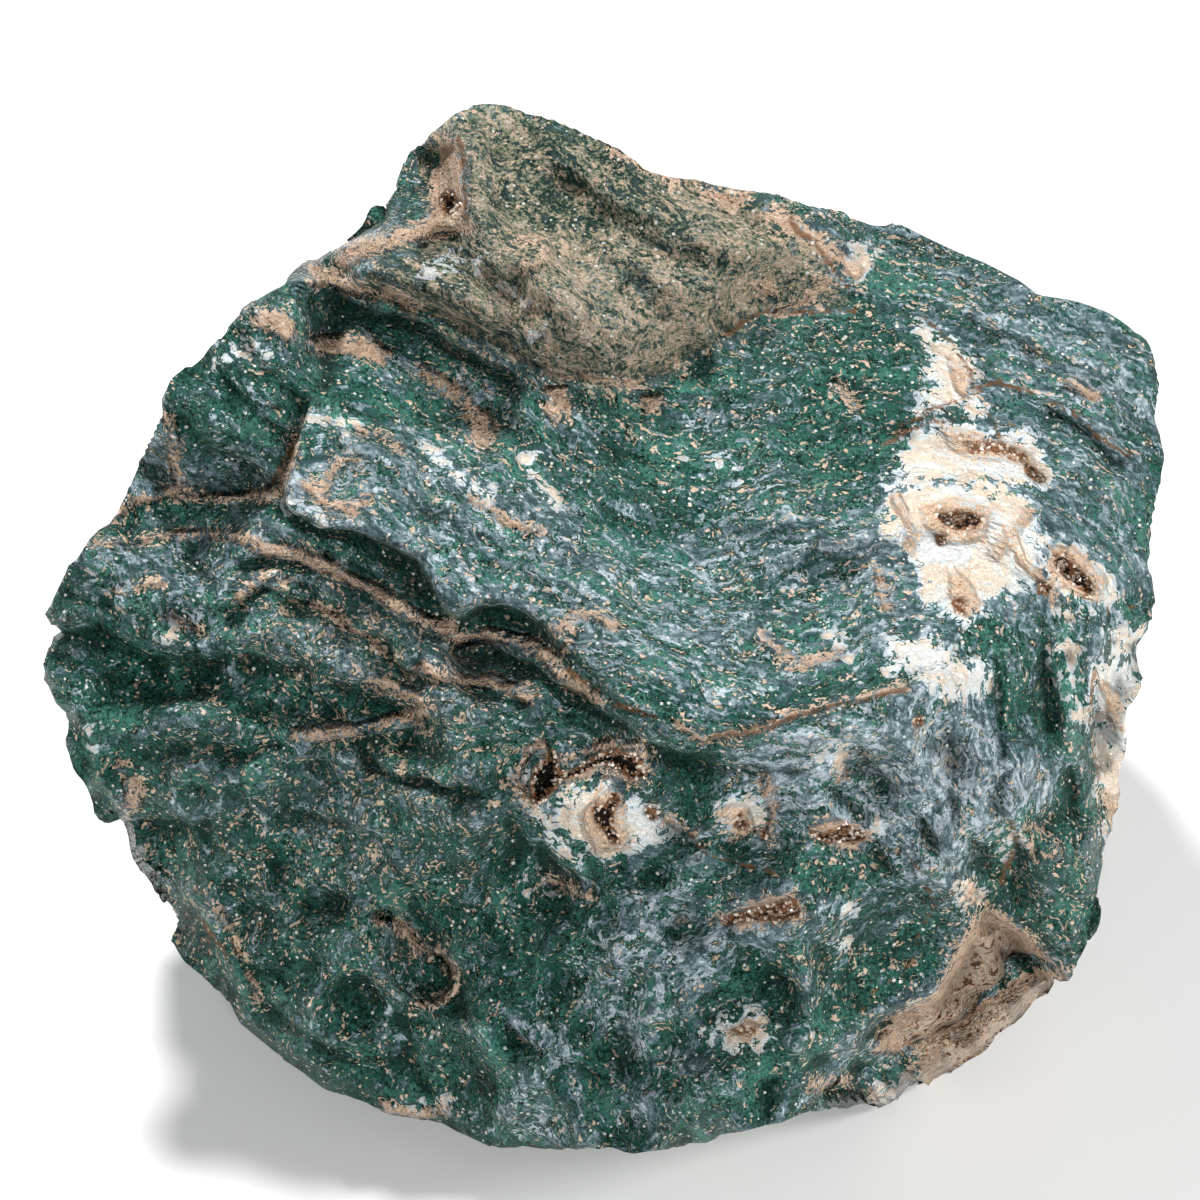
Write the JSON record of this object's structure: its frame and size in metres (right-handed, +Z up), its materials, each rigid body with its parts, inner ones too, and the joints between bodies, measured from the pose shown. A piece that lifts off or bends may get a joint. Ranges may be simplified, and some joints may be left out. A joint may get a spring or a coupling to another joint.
{
  "type": "moss agate stone",
  "caption": "Rough moss agate stone with a sloping plateau, a raised block at the back, stepped ledges and small quartz-lined hollows, resting on a flat spot.",
  "frame": {"origin": "centre of the outer box in plan, at the height of the flat resting spot on the underside", "axes": "+X to the right as the stone is seen with its layered front toward the viewer, +Y away from the viewer toward the raised block, +Z up from the surface it rests on"},
  "size_m": [0.0772, 0.0684, 0.0567],
  "materials": {
    "moss_agate_stone": "rough broken chalcedony with a waxy gloss, dark green moss-like flecks in blue-grey and white, tan specks and quartz-lined hollows"
  },
  "bodies": {
    "root": {"moss_agate": "moss_agate_stone"}
  },
  "joints": []
}
